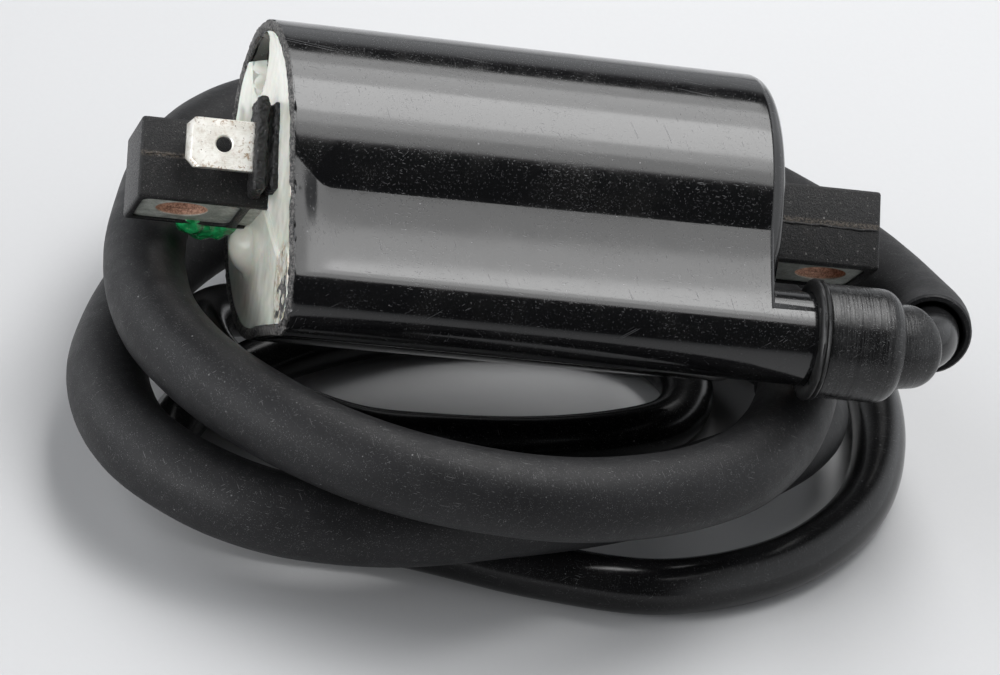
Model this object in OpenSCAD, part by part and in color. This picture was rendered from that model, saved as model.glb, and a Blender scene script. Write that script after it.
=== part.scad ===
// Ignition coil for a small engine: a potted winding case around a straight
// laminated core, with a spade terminal, a screwed lead cap and a sleeved lead.
// X runs along the case towards the lead cap and Z is up. The origin is the
// centre of the mounting hole at the terminal end, on the case's axis.

/* [Case] */
// Radius of the round body of the case, at its closed end
case_r = 19.5; // [19:0.1:20]
// How much wider the round body is at its open end
case_draft = 0.4; // [0:0.1:0.8]
// Where the open, potted end of the case starts, on the tower's side
case_start = 10; // [9:0.5:11]
// Slant of the open end, which runs on further away from the tower
mouth_slant = 2.9; // [0:0.1:4]
// Length of the case body
case_len = 62; // [60:0.5:64]
// Wall thickness of the case
case_wall = 1.5; // [1.2:0.1:2]
// Rounding of the closed end's rim
case_round = 2.2; // [1:0.1:3]
// Radius of the lead tower along the side of the case
tower_r = 5.8; // [5.6:0.1:6]
// Distance from the case's axis to the tower's axis
tower_off = 23; // [22.5:0.1:23.5]
// Radius of the hollow web between body and tower
blend_r = 50; // [40:1:80]
// How far the web starts inside the body's circle, which leaves a crease
blend_sink = 0.6; // [0:0.1:1]

/* [Core] */
// Distance between the two mounting holes
hole_pitch = 82; // [81.5:0.5:82.5]
// Distance from the terminal end's hole to its covered end of the core
hole_edge = 6.4; // [5.5:0.1:7]
// Distance from the lead end's hole to its covered end of the core
lead_hole_edge = 6; // [5.5:0.1:6.5]
// Width of the covered core across the lamination stack
core_w = 12; // [11.6:0.1:12.4]
// Number of laminations
lamination_count = 10; // [8:1:12]
// Spacing of the laminations
lamination_pitch = 0.95; // [0.9:0.05:1]
// Radius of a mounting hole
hole_r = 3.25; // [3.1:0.05:3.4]
// Thickness of the moulded covers on the core's ends
cover_t = 0.6; // [0.5:0.1:0.8]
// Height of the covers' frames over the outer laminations
frame_t = 0.4; // [0.3:0.1:0.6]
// Roll of the core and its holes about the case's axis
core_roll = 132; // [130:1:140]

/* [Terminal] */
// Width of the spade blade
blade_w = 6.3; // [6.2:0.1:6.4]
// Thickness of the spade blade
blade_t = 0.8; // [0.7:0.1:0.9]
// Height of the blade's middle above the core's axis
blade_height = 9.2; // [9:0.1:9.4]
// Offset of the blade's middle across the core
blade_shift = -1.5; // [-2.4:0.1:-1.2]
// Radius of the latch hole in the blade
latch_r = 1; // [0.8:0.1:1.2]

/* [Windings] */
// Radius of the primary bobbin's barrel
primary_r = 9.2; // [9:0.1:9.4]
// Radius over the primary winding
primary_wound_r = 11.2; // [11:0.1:11.3]
// Radius over the insulating film between the windings
film_r = 11.8; // [11.6:0.1:11.9]
// Radius of the secondary bobbin's barrel
secondary_r = 13; // [12.8:0.1:13.2]
// Radius over the secondary winding
secondary_wound_r = 15.6; // [15:0.1:15.8]
// Radius of the secondary bobbin's fins
fin_r = 16.6; // [16.2:0.1:16.8]
// Number of chambers in the secondary bobbin
chamber_count = 6; // [5:1:7]

/* [Lead] */
// Diameter of the high-tension lead
lead_d = 7; // [6.8:0.1:7.2]
// Outer diameter of the loose sleeve over the lead
sleeve_d = 10.2; // [10:0.1:10.4]
// Outer diameter of the cap's body
cap_d = 14.2; // [14:0.1:14.4]
// Outer diameter of the cap's neck
cap_neck_d = 10.4; // [10:0.1:10.6]
// Outer diameter of the seal ring under the cap
seal_d = 15.2; // [15:0.1:15.4]

/* [Hidden] */
$fn = 96;
eps = 0.01;

// Case and tower
case_end = case_start + case_len;
end_wall = 2;
inner_end = case_end - end_wall;
resin_depth = 0.7;
mouth_y = -18;
mouth_reach = 2.5;
blend_end = case_end - 1.5;
tower_y = -tower_off;
tower_socket = 54;
tower_solid = 46;
tower_end = 82;
slip = 0.05;
lead_bore_r = lead_d / 2 + slip;

// The tower's open end is plugged, in one piece with the case.
plug_r = 4.9;
plug_len = 6;

// Resin: where it ran out beside the core, and the pocket that it left
lump_at = [case_start + 1, 2.5, -10.5];
lump_r = 3.4;
pocket_at = [case_start - 1.5, 13.5, 9.5];
pocket_r = 5;

// Core
lamination_gap = 0.04;
stack_h = lamination_count * lamination_pitch - lamination_gap;
plate_w = core_w - 2 * cover_t;
core_start = -hole_edge;
core_end = hole_pitch + lead_hole_edge;
cover_h = stack_h + 2 * frame_t;
cover_depth = 3;
window_edge = 0.3;
terminal_windows = [[core_start + 0.9, 7.4], [8.6, 11.6]];
lead_windows = [[73, core_end - 1.4]];

// Terminal block: two ribs and the narrower neck between them
// [length along the core, rise over the cover, width, overhang past the blade's middle]
block_from = 7;
rib = [2.2, 4.8, 12, 6.4];
neck = [0.6, 4.2, 10.4, 5.6];
rear_rib = [2.2, 4.6, 11, 5.9];

// Blade
blade_tip = -1.4;
blade_root = 14;
blade_chamfer = 1;
latch_x = 3.3;

// Windings
wind_start = 17;
wind_end = 65;
flange_t = 1.4;
fin_t = 1.2;
chamber_pitch = (wind_end - wind_start - fin_t) / chamber_count;

// Wires: from the primary winding to the blade and to the core, and across to
// the contact in the tower
wire_r = 0.45;
feed_start = 12.6;
feed_n = 10.1;
earth_n = -8.6;
earth_h = 4.6;
joint_x = 5;
joint_at = [joint_x - 0.6, -7.6, 4.2];
joint_r = 1.5;
lacquer_x = [3.4, 6.4];
lacquer_n = -7.4;
lacquer_h = 4;
lacquer_r = 2.7;
link_x = 42;

// Cap
seal_start = 75.9;
cap_start = 77.2;
cap_body_end = 87.4;
cap_round = 2.6;
spike_r = 0.9;
spike_taper = 2;
spike_tip = 63;
conductor_r = 0.9;
conductor_end = 84;
strand_stub = 0.6;

// The lead bends away in a tight elbow that starts inside the cap's neck.
bend_start = 85.2;
bend_r = 9;
bend_drop = 18;
neck_turn = 35;
mouth_turn = 80;
elbow_gap = 0.1;

// Centre of the elbow's section, and its direction, after a turn of so many degrees.
function elbow_point(turn) = [
    bend_start + bend_r * sin(turn),
    tower_y + bend_r * (1 - cos(turn)) * cos(bend_drop),
    -bend_r * (1 - cos(turn)) * sin(bend_drop)
];
function elbow_along(turn) =
    [cos(turn), sin(turn) * cos(bend_drop), -sin(turn) * sin(bend_drop)];

// From the elbow the lead makes almost two turns in its sleeve, then two bare
// turns on the bench. Every point is on its centre line.
sleeve_route = [
    elbow_point(mouth_turn), [95.2, -10.4, -4.3], [94.8, -3.5, -6.5], [93.4, 4.2, -8.6],
    [91, 12.5, -10.5], [86, 23, -12.5], [77, 33, -14], [63, 41, -15], [46, 45, -15],
    [29, 44, -15], [14, 37, -14.2], [4, 25, -13.4],
    [-1, 11, -13.4], [-3, -4, -13.2], [-1, -18, -12.2], [7, -31, -11.2],
    [20, -41, -10.8], [36, -45.5, -10.8], [52, -44, -11.2], [66, -37, -12],
    [75, -26, -13], [80, -13, -13.4], [81.5, 1, -15.8], [78, 14, -19], [68, 25, -20.8],
    [53, 30.5, -21], [36, 32, -21.2], [19, 28.5, -22], [5, 18, -23.8], [-3, 3, -24.3],
    [-6.5, -13, -23.6], [-3, -28, -22.2], [9, -38, -21.6], [25, -40, -21.4],
    [41, -36, -21.4], [56, -30, -22], [70, -22, -23], [81, -12, -24.4],
    [86.5, -2, -26.4], [86, 9, -28.6]
];
bare_route = [
    [86, 9, -28.6], [80, 19, -30.4], [69, 25, -30.5], [55, 26.8, -30.5], [41, 26, -30.5],
    [28, 22, -30.5], [17.5, 15, -29.4], [9.5, 8, -26], [6, 0, -23.2], [7.8, -8, -22.8],
    [15, -12.6, -24.6], [25, -12.3, -28.1], [36, -9.6, -30.4], [49, -8.2, -30.5],
    [61, -5, -30.5], [69, -0.6, -30.5], [72.3, 7, -30.5], [69, 14.6, -30.5],
    [60.5, 18.4, -30.5], [46, 18, -30.5], [33, 14.3, -30.5], [20, 7.5, -30.5],
    [9.5, -1.5, -30.5], [3.4, -10.5, -30.5], [2, -18.5, -30.5], [5.8, -25.6, -30.5],
    [14, -29.2, -30.5], [30, -30.4, -30.5], [47, -34.5, -30.5], [63, -35.5, -30.5],
    [79, -29, -30.5], [91, -17, -30.5], [97, -2, -30.5], [98, 14, -30.5],
    [93, 29, -30.5], [83, 41, -30.5], [69, 48, -30.5]
];
sleeve_sides = 10;
lead_sides = 8;
wire_sides = 24;
bead_sides = 48;

// Places the core's own frame: Y across the laminations' edges, towards the
// blade, and Z along the mounting holes.
module core_frame() {
    rotate([core_roll, 0, 0]) children();
}

module along_x(x) {
    translate([x, 0, 0]) rotate([0, 90, 0]) children();
}

module along_tower(x) {
    translate([x, tower_y, 0]) rotate([0, 90, 0]) children();
}

// Outline of the case: a round body and a round tower joined by two hollow webs.
// A web runs smoothly into the tower and meets the body at a shallow crease.
module case_outline(inset) {
    body = case_r - inset;
    tower = tower_r - inset;
    blend = blend_r + inset;
    reach = case_r + blend_r - blend_sink;
    span = tower_r + blend_r;
    across = (reach * reach - span * span + tower_off * tower_off) / (2 * tower_off);
    rise = sqrt(reach * reach - across * across);
    circle(body);
    translate([-tower_off, 0]) circle(tower);
    difference() {
        polygon([[0, 0], [-across, rise], [-tower_off, 0], [-across, -rise]]);
        for (side = [-1, 1]) translate([-across, side * rise]) circle(blend);
    }
}

module case_prism(from, to, inset) {
    translate([from, 0, 0]) rotate([90, 0, 90]) linear_extrude(to - from) case_outline(inset);
}

// A ring about X, from radius inner to radius outer.
module ring_x(from, to, inner, outer) {
    along_x(from) difference() {
        cylinder(h = to - from, r = outer);
        translate([0, 0, -eps]) cylinder(h = to - from + 2 * eps, r = inner);
    }
}

module core_box(from, to, width, height) {
    core_frame() translate([from, -width / 2, -height / 2]) cube([to - from, width, height]);
}

// The round body, a little wider towards its open end.
module case_cone(to, inset) {
    from = case_start - mouth_reach;
    along_x(from) cylinder(h = to - from, r1 = case_r + case_draft - inset, r2 = case_r - inset);
}

// Everything beyond the slanted plane of the open end, or of the resin at some depth.
module beyond_mouth(depth) {
    translate([case_start + depth, mouth_y, 0]) rotate([0, 0, mouth_slant])
        translate([-20, -40, -40]) cube([20, 100, 80]);
}

module tower_plug() {
    along_tower(case_start - mouth_reach - 2) cylinder(h = mouth_reach + 2 + plug_len, r = plug_r);
}

module case() {
    color([0.05, 0.05, 0.05]) difference() {
        union() {
            case_prism(case_start - mouth_reach, blend_end, 0);
            case_cone(blend_end, 0);
            along_x(blend_end - 1) rounded_cylinder(case_r, case_end - blend_end + 1, case_round);
            along_tower(blend_end - 1) cylinder(h = tower_end - blend_end + 1, r = tower_r);
        }
        difference() {
            union() {
                case_prism(case_start - mouth_reach - 1, inner_end, case_wall);
                case_cone(inner_end, case_wall);
            }
            along_tower(tower_solid) cylinder(h = tower_end - tower_solid, r = tower_r - case_wall);
            tower_plug();
        }
        along_tower(tower_socket) cylinder(h = tower_end, r = lead_bore_r);
        along_tower(tower_solid - 1) cylinder(h = tower_end, r = spike_r + slip);
        core_box(inner_end - 1, case_end + 1, core_w, cover_h);
        beyond_mouth(0);
    }
}

// A cylinder with a rounded rim at its far end.
module rounded_cylinder(radius, length, rounding) {
    rotate_extrude() {
        square([radius - rounding, length]);
        square([radius, length - rounding]);
        translate([radius - rounding, length - rounding]) intersection() {
            circle(rounding);
            square(rounding);
        }
    }
}

module potting_resin() {
    color([0.9, 0.89, 0.8]) difference() {
        union() {
            difference() {
                union() {
                    case_prism(case_start - mouth_reach, inner_end, case_wall);
                    case_cone(inner_end, case_wall);
                }
                beyond_mouth(resin_depth);
            }
            translate(lump_at) sphere(lump_r);
        }
        along_tower(tower_solid) cylinder(h = tower_end, r = tower_r - case_wall);
        along_x(wind_start) cylinder(h = wind_end - wind_start, r = fin_r);
        core_box(core_start, core_end, core_w, cover_h);
        block_body();
        blade_body();
        feed_wire_body();
        earth_wire_body();
        core_frame() lacquer_body();
        tower_plug();
        translate(pocket_at) sphere(pocket_r);
        link_wire_body();
        along_tower(link_x) cylinder(h = tower_solid - link_x + eps, r = spike_r);
    }
}

module core_laminations() {
    color([0.5, 0.5, 0.48]) core_frame() for (i = [0 : lamination_count - 1])
        translate([0, 0, -stack_h / 2 + i * lamination_pitch]) lamination();
}

module lamination() {
    thickness = lamination_pitch - lamination_gap;
    difference() {
        translate([core_start + cover_t, -plate_w / 2, 0])
            cube([core_end - core_start - 2 * cover_t, plate_w, thickness]);
        for (x = [0, hole_pitch]) translate([x, 0, -eps]) cylinder(h = 2 * thickness, r = hole_r);
    }
}

// A moulded sock over one end of the core, open over the hole's two faces.
module end_cover(from, to, windows) {
    core_frame() difference() {
        translate([from, -core_w / 2, -cover_h / 2]) cube([to - from, core_w, cover_h]);
        translate([core_start + cover_t, -plate_w / 2, -stack_h / 2])
            cube([core_end - core_start - 2 * cover_t, plate_w, stack_h]);
        for (window = windows)
            translate([window[0], window_edge - plate_w / 2, -cover_h])
                cube([window[1] - window[0], plate_w - 2 * window_edge, 2 * cover_h]);
    }
}

module terminal_end_cover() {
    color([0.08, 0.08, 0.08])
        end_cover(core_start, wind_start - cover_depth, terminal_windows);
}

module lead_end_cover() {
    color([0.1, 0.1, 0.1]) end_cover(wind_end + cover_depth, core_end, lead_windows);
}

module block_bar(from, bar) {
    core_frame() translate([from, core_w / 2, blade_shift - bar[3]]) cube([bar[0], bar[1], bar[2]]);
}

module block_body() {
    block_bar(block_from, rib);
    block_bar(block_from + rib[0], neck);
    block_bar(block_from + rib[0] + neck[0], rear_rib);
}

module terminal_block() {
    color([0.07, 0.07, 0.07]) difference() {
        block_body();
        blade_body();
    }
}

module blade_body() {
    half = blade_w / 2;
    shoulder = blade_tip + blade_chamfer;
    core_frame() translate([0, blade_height + blade_t / 2, blade_shift]) rotate([90, 0, 0])
        linear_extrude(blade_t) polygon([
            [blade_tip, half - blade_chamfer], [shoulder, half], [blade_root, half],
            [blade_root, -half], [shoulder, -half], [blade_tip, blade_chamfer - half]
        ]);
}

module spade_terminal() {
    color([0.78, 0.76, 0.7]) difference() {
        blade_body();
        core_frame() translate([latch_x, blade_height, blade_shift]) rotate([90, 0, 0])
            cylinder(h = 2 * blade_t, r = latch_r, center = true);
    }
}

module primary_bobbin() {
    color([0.85, 0.82, 0.72]) difference() {
        union() {
            ring_x(wind_start, wind_end, 1, primary_r);
            for (x = [wind_start, wind_end - flange_t]) ring_x(x, x + flange_t, 1, primary_wound_r);
        }
        core_box(wind_start - 1, wind_end + 1, plate_w, stack_h);
        feed_wire_body();
        earth_wire_body();
    }
}

module primary_winding() {
    color([0.72, 0.38, 0.16])
        ring_x(wind_start + flange_t, wind_end - flange_t, primary_r, primary_wound_r);
}

module layer_insulation() {
    color([0.9, 0.78, 0.35]) ring_x(wind_start, wind_end, primary_wound_r, film_r);
}

function fin_start(i) = wind_start + i * chamber_pitch;

module secondary_bobbin() {
    color([0.88, 0.86, 0.78]) difference() {
        union() {
            ring_x(wind_start, wind_end, film_r, secondary_r);
            for (i = [0 : chamber_count]) ring_x(fin_start(i), fin_start(i) + fin_t, film_r, fin_r);
        }
        link_wire_body();
    }
}

module secondary_winding() {
    color([0.6, 0.28, 0.12]) for (i = [0 : chamber_count - 1])
        ring_x(fin_start(i) + fin_t, fin_start(i + 1), secondary_r, secondary_wound_r);
}

module feed_wire_body() {
    core_frame() translate([feed_start, feed_n, blade_shift]) rotate([0, 90, 0])
        cylinder(h = wind_start + flange_t - feed_start, r = wire_r, $fn = wire_sides);
}

module feed_wire() {
    color([0.72, 0.38, 0.16]) feed_wire_body();
}

module earth_wire_body() {
    core_frame() translate([joint_x, earth_n, earth_h]) rotate([0, 90, 0])
        cylinder(h = wind_start + flange_t - joint_x, r = wire_r, $fn = wire_sides);
}

module earth_wire() {
    color([0.72, 0.38, 0.16]) earth_wire_body();
}

// A bead on the covered core, in the core's frame.
module bead(centre, radius) {
    difference() {
        translate(centre) sphere(radius, $fn = bead_sides);
        translate([core_start, -core_w / 2, -cover_h / 2]) cube([core_end, core_w, cover_h]);
    }
}

module joint_body() {
    bead(joint_at, joint_r);
}

module earth_solder_joint() {
    color([0.7, 0.7, 0.72]) difference() {
        core_frame() joint_body();
        earth_wire_body();
    }
}

module lacquer_body() {
    for (x = lacquer_x) bead([x, lacquer_n, lacquer_h], lacquer_r);
}

module lacquer_seal() {
    color([0.02, 0.3, 0.08]) difference() {
        core_frame() lacquer_body();
        core_frame() joint_body();
        earth_wire_body();
    }
}

// The winding's high-voltage end runs across to the contact in the tower.
module link_wire_body() {
    translate([link_x + 1.5, 0, 0]) rotate([90, 0, 0]) translate([0, 0, secondary_r])
        cylinder(h = tower_off - secondary_r, r = wire_r, $fn = wire_sides);
}

module high_voltage_link() {
    color([0.72, 0.38, 0.16]) difference() {
        link_wire_body();
        along_x(wind_start) cylinder(h = wind_end - wind_start, r = secondary_wound_r);
        along_tower(link_x) cylinder(h = tower_solid, r = spike_r);
    }
}

module contact_spike() {
    color([0.8, 0.68, 0.35]) {
        along_tower(link_x) cylinder(h = spike_tip - spike_taper - link_x, r = spike_r);
        along_tower(spike_tip - spike_taper)
            rotate_extrude() polygon([[0, 0], [spike_r, 0], [0, spike_taper]]);
    }
}

module lead_cap() {
    color([0.09, 0.09, 0.09]) difference() {
        union() {
            along_tower(cap_start) rounded_cylinder(cap_d / 2, cap_body_end - cap_start, cap_round);
            elbow(cap_neck_d / 2, 0, neck_turn);
        }
        along_tower(cap_start - 1) cylinder(h = tower_end - cap_start + 1, r = tower_r);
        along_tower(cap_start) cylinder(h = bend_start - cap_start, r = lead_bore_r);
        elbow(lead_bore_r, 0, neck_turn + 5);
    }
}

// A round bar that follows the elbow from one turn to another.
module elbow(radius, from, to) {
    translate([bend_start, tower_y, 0]) rotate([-bend_drop, 0, 0]) translate([0, bend_r, 0])
        rotate([0, 0, from - 90]) rotate_extrude(angle = to - from) translate([bend_r, 0]) circle(radius);
}

module cap_seal_ring() {
    color([0.04, 0.04, 0.04]) along_tower(seal_start) difference() {
        cylinder(h = cap_start - seal_start, d = seal_d);
        translate([0, 0, -eps]) cylinder(h = cap_start - seal_start + 2 * eps, r = tower_r);
    }
}

// The copper strands: the run from the spike to the cap, and a stub at the cut end.
module lead_conductor() {
    color([0.75, 0.42, 0.2]) {
        along_tower(spike_tip) cylinder(h = conductor_end - spike_tip, r = conductor_r);
        translate(bare_route[bare_last]) rotate([0, 90, atan2(cut_along.y, cut_along.x)])
            cylinder(h = strand_stub, r = conductor_r);
    }
}

// Unit vector, tangent of a route at point i, and a tube swept along it.
function unit(v) = v / norm(v);
function tangent(route, i) =
    unit(route[min(i + 1, len(route) - 1)] - route[max(i - 1, 0)]);
function tube_ring(centre, along, radius, sides) =
    let (side = unit(cross(along, [0, 0, 1])), up = cross(side, along))
    [for (k = [0 : sides - 1])
        centre + radius * (cos(360 * k / sides) * side + sin(360 * k / sides) * up)];
function quad_strip(from, sides) =
    [for (k = [0 : sides - 1])
        [from + k, from + (k + 1) % sides, from + sides + (k + 1) % sides, from + sides + k]];

module tube(route, radius, sides, start_along, end_along) {
    last = len(route) - 1;
    along = [for (i = [0 : last]) i == 0 ? start_along : i == last ? end_along : tangent(route, i)];
    points = [for (i = [0 : last]) each tube_ring(route[i], along[i], radius, sides)];
    walls = [for (i = [0 : last - 1]) each quad_strip(i * sides, sides)];
    first_cap = [for (k = [sides - 1 : -1 : 0]) k];
    last_cap = [for (k = [0 : sides - 1]) last * sides + k];
    polyhedron(points, concat([first_cap], walls, [last_cap]));
}

bare_last = len(bare_route) - 1;
sleeve_end_along = unit(bare_route[1] - sleeve_route[len(sleeve_route) - 2]);
cut_along = unit(bare_route[bare_last] - bare_route[bare_last - 1]);

module high_tension_lead() {
    color([0.03, 0.03, 0.03]) {
        difference() {
            union() {
                along_tower(tower_socket) cylinder(h = bend_start - tower_socket, d = lead_d);
                elbow(lead_d / 2, elbow_gap, mouth_turn);
            }
            along_tower(tower_socket - 1) cylinder(h = conductor_end - tower_socket + 1, r = conductor_r);
        }
        tube(bare_route, lead_d / 2, lead_sides, sleeve_end_along, cut_along);
    }
}

module lead_sleeve() {
    color([0.12, 0.12, 0.12])
        tube(sleeve_route, sleeve_d / 2, sleeve_sides, elbow_along(mouth_turn), sleeve_end_along);
}

case();
potting_resin();
core_laminations();
terminal_end_cover();
lead_end_cover();
terminal_block();
spade_terminal();
primary_bobbin();
primary_winding();
layer_insulation();
secondary_bobbin();
secondary_winding();
feed_wire();
earth_wire();
earth_solder_joint();
lacquer_seal();
high_voltage_link();
contact_spike();
lead_cap();
cap_seal_ring();
lead_conductor();
high_tension_lead();
lead_sleeve();
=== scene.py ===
"""Ignition coil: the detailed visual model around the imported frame.

Lengths are in millimetres up to the point where a mesh is made, and in metres
from there on. The core's own frame has Y towards the blade and Z along the
mounting holes, as in the CAD source.
"""
import math
import random

import bmesh
import bpy
from mathutils import Matrix, Vector, noise


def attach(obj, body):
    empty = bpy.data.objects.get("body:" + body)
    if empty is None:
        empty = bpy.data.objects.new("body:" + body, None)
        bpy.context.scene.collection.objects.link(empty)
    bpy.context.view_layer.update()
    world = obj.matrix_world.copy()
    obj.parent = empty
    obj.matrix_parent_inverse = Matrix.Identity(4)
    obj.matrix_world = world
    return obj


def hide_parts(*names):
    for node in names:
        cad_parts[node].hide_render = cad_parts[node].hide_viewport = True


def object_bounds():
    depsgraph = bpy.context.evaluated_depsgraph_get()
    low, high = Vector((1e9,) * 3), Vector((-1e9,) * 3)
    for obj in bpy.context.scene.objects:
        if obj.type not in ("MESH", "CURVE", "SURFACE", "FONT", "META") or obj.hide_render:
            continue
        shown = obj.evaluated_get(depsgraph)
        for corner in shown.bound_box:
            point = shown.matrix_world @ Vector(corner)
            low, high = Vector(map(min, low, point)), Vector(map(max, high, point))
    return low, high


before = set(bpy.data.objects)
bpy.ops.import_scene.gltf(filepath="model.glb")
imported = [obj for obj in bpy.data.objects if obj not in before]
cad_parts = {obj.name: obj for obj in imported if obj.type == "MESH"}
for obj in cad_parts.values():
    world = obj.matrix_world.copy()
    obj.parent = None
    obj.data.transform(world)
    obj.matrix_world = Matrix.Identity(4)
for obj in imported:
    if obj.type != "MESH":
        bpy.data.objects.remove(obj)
cad_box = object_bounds()
MM = 0.001
BODY = "root"

# The case
CASE_START, CASE_END = 10.0, 72.0
CASE_R, CASE_DRAFT, TOWER_R, TOWER_OFF = 19.5, 0.4, 5.8, 23.0
WEB_R, WEB_SINK, WALL = 50.0, 0.6, 1.5
WEB_END, INNER_END, TOWER_END = 70.5, 70.0, 82.0
MOUTH_Y, MOUTH_SLOPE = -18.0, math.tan(math.radians(2.9))
RESIN_DEPTH, PLUG_R = 0.7, 4.9
BORE_R, JOIN_GAP = 3.55, 0.01

# The core and its covers
CORE_START, CORE_END = -6.4, 88.0
PLATE_HALF, COVER_HALF = 5.4, 6.0
STACK_HALF, FRAME_HALF = 4.73, 5.13
BLADE_N, BLADE_H, BLADE_T = 9.2, -1.5, 0.8
ROLL = math.radians(132)
CORE_N = Vector((0, math.cos(ROLL), math.sin(ROLL)))
CORE_H = Vector((0, -math.sin(ROLL), math.cos(ROLL)))

# The cap and the elbow of the lead
BEND_START, BEND_R, BEND_DROP = 85.2, 9.0, 18.0
NECK_TURN, MOUTH_TURN = 35.0, 80.0
LEAD_D, SLEEVE_D, SLEEVE_BORE = 7.0, 10.2, 8.2


def core_point(x, y, z):
    """A point of the core's frame, in the row frame, in millimetres."""
    return Vector((x, 0, 0)) + CORE_N * y + CORE_H * z


def elbow_point(turn):
    """A point of the lead's centre line in the elbow, after that many degrees."""
    t, drop = math.radians(turn), math.radians(BEND_DROP)
    side = BEND_R * (1 - math.cos(t))
    return Vector(
        (BEND_START + BEND_R * math.sin(t), side * math.cos(drop) - TOWER_OFF, -side * math.sin(drop))
    )


def smooth_step(value, low, high):
    """0 below low, 1 above high, and a smooth rise between them."""
    t = min(1.0, max(0.0, (value - low) / (high - low)))
    return t * t * (3 - 2 * t)


# --- Camera ---------------------------------------------------------------


def make_camera(location, target, roll, lens):
    """A camera that looks from one point to another, rolled about its own axis."""
    back = (location - target).normalized()
    flat = Vector((0, 0, 1)).cross(back).normalized()
    over = back.cross(flat)
    right = flat * math.cos(roll) + over * math.sin(roll)
    axes = Matrix((right, back.cross(right), back)).transposed()
    data = bpy.data.cameras.new("camera")
    data.sensor_width = 36
    data.lens = lens
    data.clip_start, data.clip_end = 0.01, 20
    camera = bpy.data.objects.new("camera", data)
    camera.matrix_world = Matrix.Translation(location * MM) @ axes.to_4x4()
    bpy.context.scene.collection.objects.link(camera)
    bpy.context.scene.camera = camera


make_camera(Vector((-85.8, -492.6, 324.0)), Vector((41.1, -11.8, -12.0)), math.radians(13.9), 173.4)


# --- Mesh helpers ---------------------------------------------------------

BEVEL_ANGLE = math.radians(35)
FINE_FUSE = 1e-7


def add_object(name, points, faces):
    """A smooth-shaded mesh object, from points in millimetres."""
    mesh = bpy.data.meshes.new(name)
    mesh.from_pydata([tuple(Vector(p) * MM) for p in points], [], faces)
    made = bmesh.new()
    made.from_mesh(mesh)
    bmesh.ops.remove_doubles(made, verts=made.verts, dist=FINE_FUSE)
    bmesh.ops.recalc_face_normals(made, faces=made.faces)
    made.to_mesh(mesh)
    made.free()
    mesh.shade_smooth()
    obj = bpy.data.objects.new(name, mesh)
    bpy.context.scene.collection.objects.link(obj)
    return obj


def apply_modifiers(obj):
    """Makes the result of the modifiers the object's own mesh."""
    graph = bpy.context.evaluated_depsgraph_get()
    mesh = bpy.data.meshes.new_from_object(obj.evaluated_get(graph))
    old = obj.data
    obj.modifiers.clear()
    obj.data = mesh
    mesh.name = obj.name
    bpy.data.meshes.remove(old)
    return obj


def boolean(obj, tool, operation="DIFFERENCE"):
    """Cuts the tool out of the object, or adds it, and removes the tool."""
    step = obj.modifiers.new("boolean", "BOOLEAN")
    step.operation, step.object, step.solver = operation, tool, "EXACT"
    apply_modifiers(obj)
    bpy.data.objects.remove(tool)
    return obj


def bevel(obj, width, segments):
    """Rounds the edges sharper than BEVEL_ANGLE."""
    step = obj.modifiers.new("bevel", "BEVEL")
    step.width, step.segments = width * MM, segments
    step.limit_method, step.angle_limit = "ANGLE", BEVEL_ANGLE
    return apply_modifiers(obj)


def remesh(obj, voxel, smoothing):
    """Merges overlapping parts into one closed skin."""
    step = obj.modifiers.new("remesh", "REMESH")
    step.mode, step.voxel_size = "VOXEL", voxel * MM
    soft = obj.modifiers.new("smooth", "SMOOTH")
    soft.iterations = smoothing
    return apply_modifiers(obj)


def crisp(obj, angle):
    """Smooth shading that keeps the edges sharper than the angle."""
    obj.data.shade_smooth()
    obj.data.set_sharp_from_angle(angle=math.radians(angle))
    return obj


def roughen(obj, amount, size, seed):
    """Moves each vertex along its normal by noise of that size, both in millimetres."""
    shift = Vector((seed, seed * 1.7, -seed))
    normals = [v.normal.copy() for v in obj.data.vertices]
    for vertex, normal in zip(obj.data.vertices, normals):
        vertex.co += normal * (noise.noise(vertex.co / (size * MM) + shift) * amount * MM)
    return obj


def join(name, parts):
    """Puts the parts' meshes into one new object."""
    made = bmesh.new()
    for part in parts:
        made.from_mesh(part.data)
        bpy.data.objects.remove(part)
    mesh = bpy.data.meshes.new(name)
    made.to_mesh(mesh)
    made.free()
    mesh.shade_smooth()
    obj = bpy.data.objects.new(name, mesh)
    bpy.context.scene.collection.objects.link(obj)
    return obj


def strip(first, second, count):
    """Faces between two closed rings, given the index of each ring's first point."""
    return [
        (first + k, first + (k + 1) % count, second + (k + 1) % count, second + k)
        for k in range(count)
    ]


def loft(name, rings, cyclic=False):
    """A closed mesh through rings of equally many points, with flat ends unless cyclic."""
    count = len(rings[0])
    points = [p for ring in rings for p in ring]
    faces = []
    for i in range(len(rings) - (0 if cyclic else 1)):
        faces += strip(i * count, (i + 1) % len(rings) * count, count)
    if not cyclic:
        last = (len(rings) - 1) * count
        faces += [tuple(range(count - 1, -1, -1)), tuple(range(last, last + count))]
    return add_object(name, points, faces)


def lathe(name, profile, sides, wobble=0.0, cyclic=False, centre=(0.0, 0.0)):
    """A body turned about X, or a line beside it, through points (x, radius)."""
    rings = []
    for x, radius in profile:
        ring = []
        for k in range(sides):
            angle = 2 * math.pi * k / sides
            spot = Vector((x * 1.3, 2.4 * math.cos(angle), 2.4 * math.sin(angle)))
            r = radius + wobble * noise.noise(spot * 2)
            ring.append((x, centre[0] + r * math.cos(angle), centre[1] + r * math.sin(angle)))
        rings.append(ring)
    return loft(name, rings, cyclic)


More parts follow.
